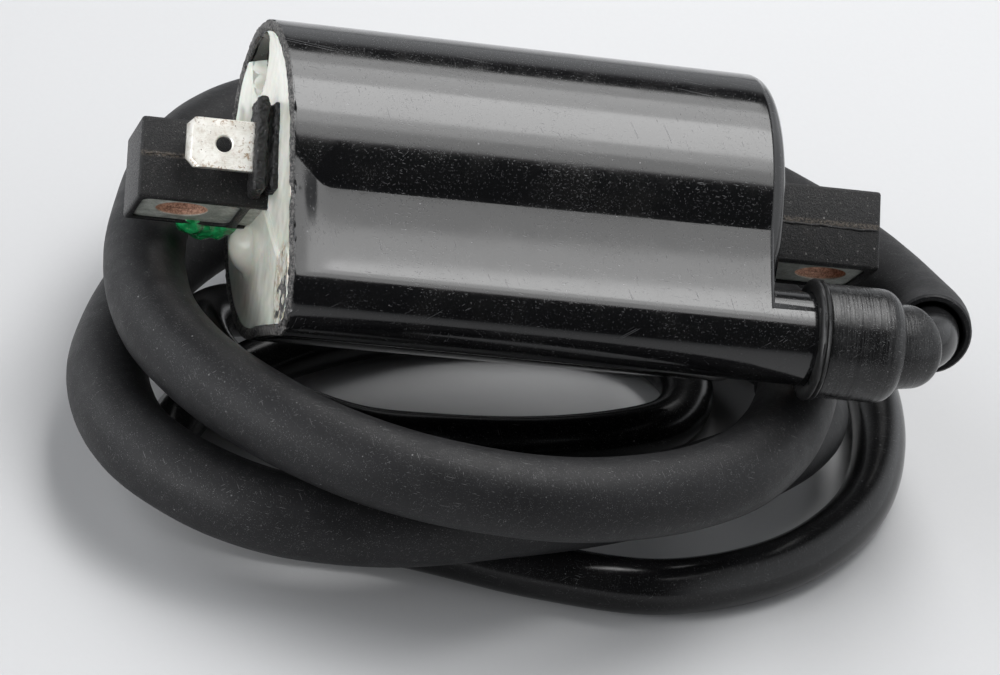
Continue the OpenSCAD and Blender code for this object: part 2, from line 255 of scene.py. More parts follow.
def box(name, low, high, rounding=0.0, segments=3):
    """A box in the core's frame, with its edges rounded if asked."""
    corners = [
        core_point(x, y, z) for x in (low[0], high[0]) for y in (low[1], high[1]) for z in (low[2], high[2])
    ]
    faces = [(0, 1, 3, 2), (4, 6, 7, 5), (0, 4, 5, 1), (2, 3, 7, 6), (0, 2, 6, 4), (1, 5, 7, 3)]
    obj = add_object(name, corners, faces)
    return bevel(obj, rounding, segments) if rounding else obj


# --- The lead and its sleeve, first, because their room is measured ---------

SLEEVE_ROUTE = [
    (95.2, -10.4, -4.3), (94.8, -3.5, -6.5), (93.4, 4.2, -8.6), (91, 12.5, -10.5),
    (86, 23, -12.5), (77, 33, -14), (63, 41, -15), (46, 45, -15), (29, 44, -15),
    (14, 37, -14.2), (4, 25, -13.4), (-1, 11, -13.4), (-3, -4, -13.2), (-1, -18, -12.2),
    (7, -31, -11.2), (20, -41, -10.8), (36, -45.5, -10.8), (52, -44, -11.2), (66, -37, -12),
    (75, -26, -13), (80, -13, -13.4), (81.5, 1, -15.8), (78, 14, -19), (68, 25, -20.8),
    (53, 30.5, -21), (36, 32, -21.2), (19, 28.5, -22), (5, 18, -23.8), (-3, 3, -24.3),
    (-6.5, -13, -23.6), (-3, -28, -22.2), (9, -38, -21.6), (25, -40, -21.4), (41, -36, -21.4),
    (56, -30, -22), (70, -22, -23), (81, -12, -24.4), (86.5, -2, -26.4), (86, 9, -28.6),
]
BARE_ROUTE = [
    (80, 19, -30.4), (69, 25, -30.5), (55, 26.8, -30.5), (41, 26, -30.5), (28, 22, -30.5),
    (17.5, 15, -29.4), (9.5, 8, -26), (6, 0, -23.2), (7.8, -8, -22.8), (15, -12.6, -24.6),
    (25, -12.3, -28.1), (36, -9.6, -30.4), (49, -8.2, -30.5), (61, -5, -30.5),
    (69, -0.6, -30.5), (72.3, 7, -30.5), (69, 14.6, -30.5), (60.5, 18.4, -30.5),
    (46, 18, -30.5), (33, 14.3, -30.5), (20, 7.5, -30.5), (9.5, -1.5, -30.5),
    (3.4, -10.5, -30.5), (2, -18.5, -30.5), (5.8, -25.6, -30.5), (14, -29.2, -30.5),
    (30, -30.4, -30.5), (47, -34.5, -30.5), (63, -35.5, -30.5), (79, -29, -30.5),
    (91, -17, -30.5), (97, -2, -30.5), (98, 14, -30.5), (93, 29, -30.5), (83, 41, -30.5),
    (69, 48, -30.5),
]
STEPS = 12


def spline(points, steps):
    """A Catmull-Rom curve through the points."""
    ends = [2 * points[0] - points[1], *points, 2 * points[-1] - points[-2]]
    out = []
    for a, b, c, d in zip(ends, ends[1:], ends[2:], ends[3:]):
        for k in range(steps):
            t = k / steps
            out.append(
                0.5 * (2 * b + (c - a) * t + (2 * a - 5 * b + 4 * c - d) * t**2
                       + (3 * b - a - 3 * c + d) * t**3)
            )
    return out + [points[-1]]


def frames_along(path):
    """(centre, side, up, along) at each point, turning as little as it can."""
    last = len(path) - 1
    out = []
    side = Vector((0, 0, 1))
    for i, centre in enumerate(path):
        along = (path[min(i + 1, last)] - path[max(i - 1, 0)]).normalized()
        side = (side - along * side.dot(along)).normalized()
        out.append((centre, side, along.cross(side), along))
    return out


def ring_at(frames, index, offset, radius, sides, wobble=0.0):
    """A ring of points round a place on the path, moved along it by the offset."""
    centre, side, up, along = frames[index]
    ring = []
    for k in range(sides):
        angle = 2 * math.pi * k / sides
        way = side * math.cos(angle) + up * math.sin(angle)
        r = radius + (wobble * noise.noise((centre + way * radius) / 9) if wobble else 0)
        ring.append(centre + along * offset + way * r)
    return ring


free_run = spline([elbow_point(MOUTH_TURN)] + [Vector(p) for p in SLEEVE_ROUTE + BARE_ROUTE], STEPS)
sleeve_path = free_run[: len(SLEEVE_ROUTE) * STEPS + 1]
LEAD_EXIT = Vector((84.5, -TOWER_OFF, 0))
neck_run = [Vector((x, -TOWER_OFF, 0)) for x in (82.5, 83.5, LEAD_EXIT.x)]
elbow_run = [elbow_point(t) for t in range(0, int(MOUTH_TURN), 5)]
lead_path = neck_run + elbow_run + free_run


def make_lead():
    """The lead from inside the cap to its cut end, open over the strands."""
    frames = frames_along(lead_path)
    last = len(frames) - 1
    radius, sides = LEAD_D / 2, 32
    rings = [ring_at(frames, 0, 0, radius - 0.3, sides)]
    rings += [ring_at(frames, i, 0, radius, sides) for i in range(last)]
    rings += [ring_at(frames, last, -0.15, radius, sides), ring_at(frames, last, 0, radius - 0.2, sides)]
    rings += [ring_at(frames, last, 0, 1.6, sides), ring_at(frames, last, -0.25, 1.15, sides)]
    return crisp(loft("lead", rings), 50)


def make_sleeve():
    """The sleeve as an uneven tube with a wall, open and rounded at both ends."""
    frames = frames_along(sleeve_path)
    last = len(frames) - 1
    outer, inner, sides = SLEEVE_D / 2, SLEEVE_BORE / 2, 44
    skin, lip = 0.12, 0.1
    rings = [
        ring_at(frames, 0, 0.02, inner + 0.25, sides, lip),
        ring_at(frames, 0, 0, outer - 0.25, sides, lip),
        ring_at(frames, 0, 0.3, outer, sides, skin),
    ]
    rings += [ring_at(frames, i, 0, outer, sides, skin) for i in range(1, last)]
    rings += [
        ring_at(frames, last, -0.3, outer, sides, skin),
        ring_at(frames, last, 0, outer - 0.25, sides, lip),
        ring_at(frames, last, 0, inner + 0.2, sides),
        ring_at(frames, last, -0.3, inner, sides),
    ]
    rings += [ring_at(frames, i, 0, inner, sides) for i in range(last - 1, 0, -1)]
    rings += [ring_at(frames, 0, 0.4, inner, sides)]
    return crisp(loft("sleeve", rings, cyclic=True), 50)


lead = make_lead()
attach(lead, BODY)
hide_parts("high_tension_lead")
sleeve = make_sleeve()
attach(sleeve, BODY)
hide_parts("lead_sleeve")


# --- The case ---------------------------------------------------------------


BODY_POINTS, WEB_POINTS, TOWER_POINTS = 170, 26, 60


def outline(inset, x):
    """The case's outline as (y, z): body, upper web, tower, lower web.

    The body widens and the webs flatten towards the open end, which closes the crease.
    """
    body_r = CASE_R + CASE_DRAFT * (CASE_END - x) / (CASE_END - CASE_START)
    flat = 1 - smooth_step(x, CASE_START - 1.5, 15.5)
    web_r, sink = WEB_R + 260 * flat**2, WEB_SINK * (1 - flat)
    body, tower, web = body_r - inset, TOWER_R - inset, web_r + inset
    reach, span = body_r + web_r - sink, TOWER_R + web_r
    across = (reach**2 - span**2 + TOWER_OFF**2) / (2 * TOWER_OFF)
    rise = math.sqrt(reach**2 - across**2)
    a = (body**2 - web**2 + reach**2) / (2 * reach)
    h = math.sqrt(max(0.0, body**2 - a**2))
    crease = ((-a * across - h * rise) / reach, (a * rise - h * across) / reach)
    touch = (-TOWER_OFF - tower * (across - TOWER_OFF) / span, tower * rise / span)
    crease_at = math.atan2(crease[1], crease[0])
    from_web = math.atan2(crease[1] - rise, crease[0] + across)
    to_web = math.atan2(touch[1] - rise, touch[0] + across)
    touch_at = math.atan2(touch[1], touch[0] + TOWER_OFF)
    points = []
    for k in range(BODY_POINTS):
        t = crease_at * (2 * k / BODY_POINTS - 1)
        points.append((body * math.cos(t), body * math.sin(t)))
    upper = []
    for k in range(WEB_POINTS):
        t = from_web + (to_web - from_web) * k / WEB_POINTS
        upper.append((-across + web * math.cos(t), rise + web * math.sin(t)))
    points += upper
    for k in range(TOWER_POINTS + 1):
        t = touch_at + (2 * math.pi - 2 * touch_at) * k / TOWER_POINTS
        points.append((-TOWER_OFF + tower * math.cos(t), tower * math.sin(t)))
    points += [(y, -z) for y, z in reversed(upper[1:])]
    return points


def rim_chip(y, z, seed):
    """How far a chip or burr moves the rim, coarse and fine."""
    spot = Vector((y, z, seed))
    coarse = max(0.0, noise.noise(spot * 0.55) - 0.12)
    return coarse * 0.9 + 0.16 * noise.noise(spot * 2.3) + 0.07 * noise.noise(spot * 6)


def mouth(y):
    """Where the slanted open end lies."""
    return CASE_START - MOUTH_SLOPE * (y - MOUTH_Y)


def case_ring(x, inset, ragged=0.0, seed=1.0):
    """One ring of the case, slanted near the open end, with chips where ragged."""
    near = 1 - smooth_step(x, CASE_START + 0.5, CASE_START + 24)
    return [
        (x + near * (mouth(y) - CASE_START) + ragged * rim_chip(y, z, seed), y, z)
        for y, z in outline(inset, x)
    ]


def make_case():
    """The shell with its rim, end disc, tower, bore and core hole, and the tower's plug."""
    rings = [case_ring(WEB_END, 0.5), case_ring(70.42, 0.2), case_ring(70.2, 0.04), case_ring(69.9, 0)]
    x = 68.0
    while x > 17:
        rings.append(case_ring(x, 0))
        x -= 3.0
    rings += [case_ring(x, 0) for x in (16, 15, 14, 13, 12.2, 11.5, 11)]
    rings += [case_ring(10.6, 0, 0.35), case_ring(10.3, 0.03, 0.7), case_ring(10.12, 0.12, 1.0)]
    rings += [case_ring(10.0, 0.32, 1.1, 3.0), case_ring(9.96, 0.75, 1.0, 7.0)]
    rings += [case_ring(10.03, 1.2, 0.9, 11.0), case_ring(10.3, 1.44, 0.5, 11.0)]
    rings += [case_ring(x, WALL) for x in (11, 13, 16, 20, 40, 60, INNER_END)]
    case = loft("case_shell", rings)
    rounding, steps = 2.2, 8
    disc_r = CASE_R - JOIN_GAP
    profile = [(69.0, disc_r)]
    for k in range(steps + 1):
        t = math.pi / 2 * k / steps
        profile.append((CASE_END - rounding + rounding * math.sin(t), disc_r - rounding + rounding * math.cos(t)))
    boolean(case, lathe("end_disc", profile, BODY_POINTS), "UNION")
    tower_r = TOWER_R - JOIN_GAP
    tower = [(69.2, tower_r), (TOWER_END - 0.4, tower_r), (TOWER_END, TOWER_R - 0.4)]
    boolean(case, lathe("tower", tower, 96, centre=(-TOWER_OFF, 0)), "UNION")
    boolean(case, lathe("bore", [(69.1, BORE_R), (84, BORE_R)], 64, centre=(-TOWER_OFF, 0)))
    boolean(case, box("core_hole", (68, -COVER_HALF, -FRAME_HALF), (75, COVER_HALF, FRAME_HALF)))
    face = mouth(-TOWER_OFF) + 0.15
    profile = [(16.0, PLUG_R), (face + 0.3, PLUG_R), (face, PLUG_R - 0.25)]
    profile += [(face, 0.3 + 0.35 * k) for k in range(12, -1, -1)]
    plug = roughen(lathe("plug", profile, 80, centre=(-TOWER_OFF, 0)), 0.3, 1.1, 6.0)
    return crisp(join("case_shell", [case, roughen(plug, 0.14, 0.4, 2.0)]), 40)


# --- The potted face --------------------------------------------------------


def soft_min(a, b, width):
    """The lower of two values, rounded off where they are close."""
    mix = min(1.0, max(0.0, 0.5 + 0.5 * (b - a) / width))
    return b * (1 - mix) + a * mix - width * mix * (1 - mix)


POCKET, POCKET_X, POCKET_R = (13.5, 9.5), 8.5, 5.0
LUMP, LUMP_X, LUMP_R = (2.5, -10.5), 11.0, 3.4
RESIN_BACK, COVERED_BY = 13.8, 0.04


def cad_front(y, z):
    """Where the CAD resin's own front lies, which the relief has to cover."""
    x = mouth(y) + RESIN_DEPTH
    pocket = POCKET_R**2 - (y - POCKET[0]) ** 2 - (z - POCKET[1]) ** 2
    if pocket > 0:
        x = max(x, POCKET_X + math.sqrt(pocket))
    lump = LUMP_R**2 - (y - LUMP[0]) ** 2 - (z - LUMP[1]) ** 2
    return min(x, LUMP_X - math.sqrt(lump)) if lump > 0 else x


def resin_front(y, z, wall_distance):
    """How far forward the resin stands at a place on the open end."""
    x = mouth(y) + RESIN_DEPTH - 0.2
    x += 0.14 * noise.noise(Vector((y, z, 0)) / 6) + 0.05 * noise.noise(Vector((y, z, 9)) / 1.6)
    x -= 0.3 * math.exp(-max(0.0, wall_distance) / 0.7)
    spot = Vector((0, y, z))
    n, h = spot.dot(CORE_N), spot.dot(CORE_H)
    out = math.hypot(max(0.0, abs(n) - COVER_HALF), max(0.0, abs(h) - FRAME_HALF))
    x -= 0.35 * math.exp(-out / 0.7)
    around_plug = math.hypot(y + TOWER_OFF, z) - PLUG_R
    x -= 0.35 * math.exp(-max(0.0, around_plug) / 0.5)
    for cy, cz, radius in ((0.2, -10.2, 3.9), (2.6, -10.6, 3.6)):
        lump = radius**2 - (y - cy) ** 2 - (z - cz) ** 2
        if lump > 0:
            x = soft_min(x, 11.2 - math.sqrt(lump), 0.7)
    away = math.hypot(y - POCKET[0], z - POCKET[1]) + 0.7 * noise.noise(Vector((y, z, 4)) / 1.5)
    x += 4.6 * (1 - smooth_step(away, 3.2, 5.4))
    return min(x, cad_front(y, z) - COVERED_BY)


def make_resin_face():
    """The potted surface: a relief over the whole open end, closed at the back."""
    edge = outline(WALL - 0.03, CASE_START)
    layers, count = 34, len(edge)
    rings = [[(RESIN_BACK, y, z) for y, z in edge]]
    for j in range(layers):
        t = (j / layers) ** 1.35
        ring = []
        for y, z in edge:
            hub = min(-0.5, max(-22.0, y))
            py, pz = y + (hub - y) * t, z * (1 - t)
            ring.append((resin_front(py, pz, math.hypot(py - y, pz - z)), py, pz))
        rings.append(ring)
    return loft("resin_face", rings)


# --- Covers, terminal block and blade ---------------------------------------


def window_tool(name, start, end, rounding):
    """A prism through both faces of a cover, with rounded corners."""
    half = PLATE_HALF - 0.3
    ring = []
    corners = [(end - rounding, half - rounding, 0), (start + rounding, half - rounding, 90),
               (start + rounding, rounding - half, 180), (end - rounding, rounding - half, 270)]
    for cx, cy, first in corners:
        for k in range(5):
            t = math.radians(first + 90 * k / 4)
            ring.append((cx + rounding * math.cos(t), cy + rounding * math.sin(t)))
    rings = [[core_point(x, y, z) for x, y in ring] for z in (-9, 9)]
    return loft(name, rings)


def make_cover(name, start, end, windows, open_end):
    """A moulded cover: a thin box, open at the end inside the case, with its windows."""
    cover = box(name, (start, -COVER_HALF, -FRAME_HALF), (end, COVER_HALF, FRAME_HALF), rounding=0.45)
    inner = (start + (0.6 if open_end > start else -1), end + (1 if open_end > start else -0.6))
    hollow = box("hollow", (inner[0], -PLATE_HALF, -STACK_HALF), (inner[1], PLATE_HALF, STACK_HALF))
    boolean(cover, hollow)
    for first, second, rounding in windows:
        boolean(cover, window_tool("window", first, second, rounding))
    return crisp(bevel(cover, 0.1, 2), 40)


def seam(name, start, end, h, width, height):
    """The flash along a parting line, a thin uneven ridge on the blade's side."""
    rings = []
    steps = int((end - start) / 0.25)
    for i in range(steps + 1):
        x = start + (end - start) * i / steps
        spot = Vector((x, 0, start)) / 1.4
        lift = height * (0.75 + 0.8 * noise.noise(spot))
        mid = h + 0.16 * noise.noise(spot * 0.6) + 0.05 * noise.noise(spot * 3)
        low, high = COVER_HALF - 0.1, COVER_HALF + max(0.015, lift)
        w = width / 2
        ring = [(low, mid - w), (high * 0.5 + low * 0.5, mid - w * 0.8), (high, mid - w * 0.25),
                (high, mid + w * 0.2), (high * 0.5 + low * 0.5, mid + w * 0.7), (low, mid + w)]
        rings.append([core_point(x, n, hh) for n, hh in ring])
    return loft(name, rings)


def make_block():
    """Two ribs and the neck between them, as moulded, with torn edges."""
    bars = [((7, 5.9, -7.85), (8.5, 10.75, 4.05)), ((8.3, 5.9, -7.0), (9.4, 10.0, 3.2)),
            ((9.1, 5.9, -7.35), (12.0, 10.6, 3.55))]
    parts = [box("bar", low, high, rounding=0.35, segments=2) for low, high in bars]
    block = remesh(join("block_ribs", parts), 0.16, 3)
    roughen(block, 0.16, 0.9, 3.0)
    return roughen(block, 0.1, 0.35, 8.0)


def blade_ring(level, tip, edge):
    """The blade's outline at one level of its thickness, with cut corners at the tip."""
    half = 6.3 / 2 - edge
    start, end, cut = -1.4 + tip, 14.0, 1.0
    ring = [(start, half - cut), (start + cut, half), (end, half),
            (end, -half), (start + cut, -half), (start, cut - half)]
    return [core_point(x, BLADE_N + level, BLADE_H - y) for x, y in ring]


LATCH_X, LATCH_R, LATCH_MOUTH, LATCH_SIDES = 3.3, 1.0, 1.16, 40


def make_blade():
    """The blade with its broken edges and its latch hole, eased at both mouths."""
    half = BLADE_T / 2
    levels = [(-half, 0.75, 0.06), (0.1 - half, 0.6, 0.0), (-0.14, 0.03, 0), (0.14, 0.03, 0),
              (half - 0.1, 0.6, 0.0), (half, 0.75, 0.06)]
    blade = loft("blade", [blade_ring(*level) for level in levels])
    profile = [(-2, LATCH_MOUTH), (-half - 0.01, LATCH_MOUTH), (0.14 - half, LATCH_R),
               (half - 0.14, LATCH_R), (half + 0.01, LATCH_MOUTH), (2, LATCH_MOUTH)]
    angles = [2 * math.pi * k / LATCH_SIDES for k in range(LATCH_SIDES)]
    rings = [
        [core_point(LATCH_X + radius * math.cos(t), BLADE_N + n, BLADE_H + radius * math.sin(t)) for t in angles]
        for n, radius in profile
    ]
    return crisp(boolean(blade, loft("latch", rings)), 30)


def ball(name, centre, radius, stretch):
    """An ellipsoid in the core's frame."""
    made = bmesh.new()
    bmesh.ops.create_icosphere(made, subdivisions=4, radius=1)
    points = [core_point(*(centre[i] + v.co[i] * radius * stretch[i] for i in range(3))) for v in made.verts]
    faces = [tuple(v.index for v in f.verts) for f in made.faces]
    made.free()
    return add_object(name, points, faces)


def make_lacquer():
    """A set run of lacquer over the earth joint."""
    blobs = [((2.4, -6.7, 4.3), 1.9, (1.1, 1, 1)), ((3.8, -7.6, 4.2), 2.2, (1, 1, 1.05)),
             ((5.8, -7.4, 4.0), 2.1, (1.2, 0.9, 1)), ((7.7, -7.0, 3.6), 1.5, (1.4, 0.8, 1)),
             ((4.8, -8.8, 3.6), 1.5, (1, 0.9, 1))]
    lacquer = join("lacquer_run", [ball("blob", *blob) for blob in blobs])
    remesh(lacquer, 0.17, 6)
    roughen(lacquer, 0.4, 1.7, 2.0)
    return roughen(lacquer, 0.05, 0.6, 5.0)


# --- Cap and seal -----------------------------------------------------------


def make_cap():
    """The turned body and the bent neck, with the fine grooves left by turning."""
    random.seed(4)
    profile = [(82.0, BORE_R + 0.01), (82.0, TOWER_R + 0.02), (77.25, TOWER_R + 0.02), (77.2, 6.2),
               (77.2, 6.82), (77.3, 7.02)]
    x = 77.45
    while x < 84.7:
        profile.append((x, 7.08 + random.uniform(-0.028, 0.014)))
        x += 0.11
    rounding = 2.6
    for k in range(1, 15):
        t = math.pi / 2 * k / 15
        profile.append((84.8 + rounding * math.sin(t), 7.08 - rounding + rounding * math.cos(t)))
    profile += [(87.36, 4.3), (87.36, BORE_R + 0.4)]
    body = lathe("cap_body", profile, 120, cyclic=True, centre=(-TOWER_OFF, 0))
    path = [Vector((84.6, -TOWER_OFF, 0))] + [elbow_point(t) for t in range(0, int(NECK_TURN) + 1, 1)]
    frames = frames_along(path)
    last, sides, outer = len(path) - 1, 96, 5.2
    rings = []
    for i in range(last + 1):
        left = (path[-1] - path[i]).length
        drop = outer - 1.3 + math.sqrt(max(0.0, 1.3**2 - max(0.0, 1.3 - left) ** 2))
        rings.append(ring_at(frames, i, 0, drop + random.uniform(-0.012, 0.008), sides))
    rings.append(ring_at(frames, last, 0, 3.85, sides))
    rings += [ring_at(frames, i, 0, BORE_R + 0.02, sides) for i in range(last, -1, -1)]
    neck = loft("cap_neck", rings, cyclic=True)
    return crisp(join("cap", [body, neck]), 50)


def make_seal():
    """The seal's two uneven lips."""
    profile = [(75.9, 5.83), (75.86, 6.6), (75.9, 7.15), (76.08, 7.44), (76.3, 7.55), (76.5, 7.45),
               (76.62, 7.25), (76.75, 7.4), (76.95, 7.5), (77.12, 7.38), (77.19, 7.1), (77.19, 5.83)]
    return crisp(
        lathe("seal_ring", profile, 110, wobble=0.09, cyclic=True, centre=(-TOWER_OFF, 0)), 50
    )


# --- Materials --------------------------------------------------------------


class Shader:
    """A procedural material, laid out in millimetres of object space."""

    def __init__(self, name, **values):
        self.material = bpy.data.materials.new(name)
        self.material.use_nodes = True
        self.tree = self.material.node_tree
        self.surface = self.tree.nodes["Principled BSDF"]
        self.coords = self.add("ShaderNodeTexCoord").outputs["Object"]
        for socket, value in values.items():
            self.surface.inputs[socket.replace("_", " ")].default_value = value

    def add(self, kind, inputs=None, **settings):
        node = self.tree.nodes.new(kind)
        for name, value in settings.items():
            setattr(node, name, value)
        for socket, value in (inputs or {}).items():
            if isinstance(value, bpy.types.NodeSocket):
                self.tree.links.new(value, node.inputs[socket])
            else:
                node.inputs[socket].default_value = value
        return node

    def place(self, turn=(0, 0, 0), stretch=(1, 1, 1), shift=(0, 0, 0)):
        angles = tuple(math.radians(a) for a in turn)
        turned = self.add("ShaderNodeMapping", {"Vector": self.coords, "Rotation": angles})
        sized = self.add("ShaderNodeMapping", {
            "Vector": turned.outputs[0], "Scale": tuple(1 / (MM * s) for s in stretch), "Location": shift})
        return sized.outputs[0]

    def noise(self, size, detail=4, roughness=0.55, at=None, distortion=0.0):
        if at is None:
            at = self.place(stretch=(size,) * 3)
        return self.add("ShaderNodeTexNoise", {
            "Vector": at, "Scale": 1.0, "Detail": detail, "Roughness": roughness, "Distortion": distortion,
        }).outputs["Fac"]

    def ramp(self, value, low, high, to_low=0.0, to_high=1.0):
        return self.add("ShaderNodeMapRange", {
            "Value": value, "From Min": low, "From Max": high, "To Min": to_low, "To Max": to_high,
        }, interpolation_type="SMOOTHSTEP").outputs["Result"]

    def math(self, operation, a, b=0.0, clamp=False):
        return self.add("ShaderNodeMath", {0: a, 1: b}, operation=operation, use_clamp=clamp).outputs[0]

    def most(self, *values):
        out = values[0]
        for value in values[1:]:
            out = self.math("MAXIMUM", out, value)
        return out

    def mix(self, factor, a, b):
        node = self.add("ShaderNodeMix", data_type="RGBA")
        for socket, value in ((0, factor), (6, a), (7, b)):
            if isinstance(value, bpy.types.NodeSocket):
                self.tree.links.new(value, node.inputs[socket])
            else:
                node.inputs[socket].default_value = (*value, 1) if isinstance(value, tuple) else value
        return node.outputs[2]

    def specks(self, size, radius, share, turn=(0, 0, 0), stretch=(1, 1, 1), shift=(0, 0, 0)):
        """Scattered dots, or dashes where stretched: 1 inside one, 0 outside."""
        at = self.place(turn, tuple(size * s for s in stretch), shift)
        cells = self.add("ShaderNodeTexVoronoi", {"Vector": at, "Scale": 1.0})
        dot = self.ramp(cells.outputs["Distance"], radius * 0.5, radius, 1.0, 0.0)
        parts = self.add("ShaderNodeSeparateColor", {0: cells.outputs["Color"]})
        kept = self.math("LESS_THAN", parts.outputs[0], share)
        faint = self.ramp(parts.outputs[1], 0.0, 1.0, 0.35, 1.0)
        return self.math("MULTIPLY", self.math("MULTIPLY", dot, kept), faint)

    def dashes(self, size, width, length, share, turns):
        """Scratches or fibres in several directions."""
        layers = [
            self.specks(size, 0.5, share, turn, (length / size, width / size, width / size), (i * 3.7,) * 3)
            for i, turn in enumerate(turns)
        ]
        return self.most(*layers)

    def near(self, centre, low, high):
        """1 near a point in millimetres, and 0 beyond the radius high."""
        point = tuple(c * MM for c in centre)
        away = self.add("ShaderNodeVectorMath", {0: self.coords, 1: point}, operation="DISTANCE")
        return self.ramp(away.outputs["Value"], low * MM, high * MM, 1.0, 0.0)

    def axis(self, way):
        """Distance in millimetres along a direction."""
        scaled = tuple(c / MM for c in way)
        dot = self.add("ShaderNodeVectorMath", {0: self.coords, 1: scaled}, operation="DOT_PRODUCT")
        return dot.outputs["Value"]

    def bump(self, height, depth, below=None):
        inputs = {"Height": height, "Distance": depth * MM, "Strength": 1.0}
        if below is not None:
            inputs["Normal"] = below
        return self.add("ShaderNodeBump", inputs).outputs["Normal"]

    def link(self, **sockets):
        for socket, value in sockets.items():
            self.tree.links.new(value, self.surface.inputs[socket.replace("_", " ")])
        return self.material


SCRATCH_TURNS = [(0, 0, 12), (20, 35, 0), (0, -50, 60), (70, 10, -30), (10, 80, 20), (-30, 5, 75)]


def case_material():
    s = Shader("case_plastic", IOR=1.56)
    mouth_way = (1, MOUTH_SLOPE, 0)
    smudge = s.noise(7, 6, 0.62, distortion=0.6)
    haze = s.noise(2.2, 5, 0.7)
    fine = s.dashes(2.4, 0.06, 8.0, 0.018, SCRATCH_TURNS)
    deep = s.dashes(7.0, 0.1, 18.0, 0.03, SCRATCH_TURNS[::-1])
    dust = s.most(s.specks(0.9, 0.1, 0.07), s.specks(2.3, 0.06, 0.35, shift=(4, 1, 2)))
    marks = s.math("MAXIMUM", s.math("MULTIPLY", fine, s.ramp(smudge, 0.4, 0.65)), deep)
    along = s.math("SUBTRACT", s.axis(mouth_way), CASE_START + MOUTH_SLOPE * MOUTH_Y)
    rim = s.ramp(s.math("ADD", along, s.math("MULTIPLY", haze, 0.5)), 0.35, 0.75, 1.0, 0.0)
    grit = s.ramp(s.noise(0.35, 3, 0.7), 0.42, 0.62)
    worn = s.math("MULTIPLY", rim, grit)
    tint = s.mix(s.ramp(smudge, 0.45, 0.75), (0.004, 0.004, 0.0044), (0.0075, 0.0073, 0.0073))
    tint = s.mix(s.math("MULTIPLY", dust, 0.5), tint, (0.33, 0.33, 0.34))
    tint = s.mix(s.math("MULTIPLY", marks, 0.2), tint, (0.2, 0.2, 0.21))
    tint = s.mix(s.math("MULTIPLY", worn, 0.7), tint, (0.2, 0.19, 0.18))
    rough = s.ramp(smudge, 0.35, 0.75, 0.1, 0.17)
    rough = s.math("ADD", rough, s.math("MULTIPLY", s.ramp(haze, 0.5, 0.8), 0.06))
    rough = s.math("ADD", rough, s.math("MULTIPLY", marks, 0.2))
    rough = s.math("ADD", rough, s.math("MULTIPLY", rim, 0.4), clamp=True)
    normal = s.bump(s.noise(16, 2, 0.5), 0.035)
    normal = s.bump(s.noise(1.1, 3, 0.5), 0.0016, normal)
    normal = s.bump(s.math("MULTIPLY", marks, -1.0), 0.005, normal)
    normal = s.bump(s.math("MULTIPLY", rim, s.noise(0.3, 4, 0.7)), 0.22, normal)
    return s.link(Base_Color=tint, Roughness=rough, Normal=normal)


def resin_material():
    s = Shader("resin", IOR=1.52, Subsurface_Weight=0.25, Subsurface_Scale=0.002, Coat_Weight=0.25,
               Coat_Roughness=0.08)
    clouds = s.noise(6, 4, 0.55)
    mottle = s.noise(1.1, 4, 0.65)
    tint = s.mix(s.ramp(clouds, 0.35, 0.7), (0.64, 0.64, 0.56), (0.76, 0.76, 0.69))
    tint = s.mix(s.ramp(mottle, 0.6, 0.85, 0.0, 0.2), tint, (0.57, 0.52, 0.4))
    grime = s.math("MULTIPLY", s.near((10.0, -TOWER_OFF, 0.0), 5.0, 6.6), s.ramp(mottle, 0.42, 0.62))
    tint = s.mix(s.math("MULTIPLY", grime, 0.6), tint, (0.3, 0.2, 0.11))
    # painted shade: the pocket in the resin is tinted near black for the shade that falls inside the recess
    edge = s.math("ADD", s.near((12.2, 14.2, 10.4), 4.2, 5.4), s.math("MULTIPLY", mottle, 0.5))
    tint = s.mix(s.ramp(edge, 0.62, 0.8), tint, s.mix(mottle, (0.008, 0.007, 0.006), (0.07, 0.055, 0.045)))
    rough = s.ramp(mottle, 0.4, 0.8, 0.14, 0.28)
    normal = s.bump(s.noise(2.5, 2, 0.5), 0.04)
    normal = s.bump(s.noise(0.5, 2, 0.5), 0.002, normal)
    return s.link(Base_Color=tint, Roughness=rough, Normal=normal)


def cover_material(name, base, seam_h):
    """Fine-grained black moulding; darker on one side of its parting line."""
    s = Shader(name, IOR=1.36)
    grain = s.noise(0.28, 4, 0.75)
    patches = s.noise(3.2, 5, 0.65, distortion=0.5)
    side = s.ramp(s.math("ADD", s.axis(CORE_H), s.math("MULTIPLY", patches, 1.2)), seam_h + 0.2, seam_h + 1.1)
    on_top = s.ramp(s.axis(CORE_N), 5.7, 5.95)
    shade = s.math("MULTIPLY", side, on_top)
    specks = s.most(s.specks(0.45, 0.2, 0.4), s.specks(1.1, 0.16, 0.5, shift=(3, 3, 1)))
    fibres = s.dashes(2.2, 0.05, 1.6, 0.03, SCRATCH_TURNS[1:5])
    tint = s.mix(s.ramp(grain, 0.35, 0.7), tuple(c * 0.5 for c in base), tuple(c * 1.7 for c in base))
    tint = s.mix(s.math("MULTIPLY", shade, 0.6), tint, tuple(c * 0.35 for c in base))
    tint = s.mix(s.ramp(patches, 0.6, 0.85, 0.0, 0.3), tint, (0.045, 0.04, 0.034))
    seam_line = s.ramp(s.math("ABSOLUTE", s.math("SUBTRACT", s.axis(CORE_H), seam_h)), 0.1, 0.5, 1.0, 0.0)
    dirt = s.math("MULTIPLY", s.math("MULTIPLY", seam_line, on_top), s.ramp(grain, 0.4, 0.6))
    tint = s.mix(s.math("MULTIPLY", dirt, 0.5), tint, (0.16, 0.13, 0.1))
    tint = s.mix(s.math("MULTIPLY", s.most(specks, fibres), 0.45), tint, (0.3, 0.29, 0.28))
    rough = s.ramp(grain, 0.3, 0.7, 0.3, 0.55)
    normal = s.bump(grain, 0.11)
    normal = s.bump(s.noise(1.3, 3, 0.6), 0.05, normal)
    return s.link(Base_Color=tint, Roughness=rough, Normal=normal)


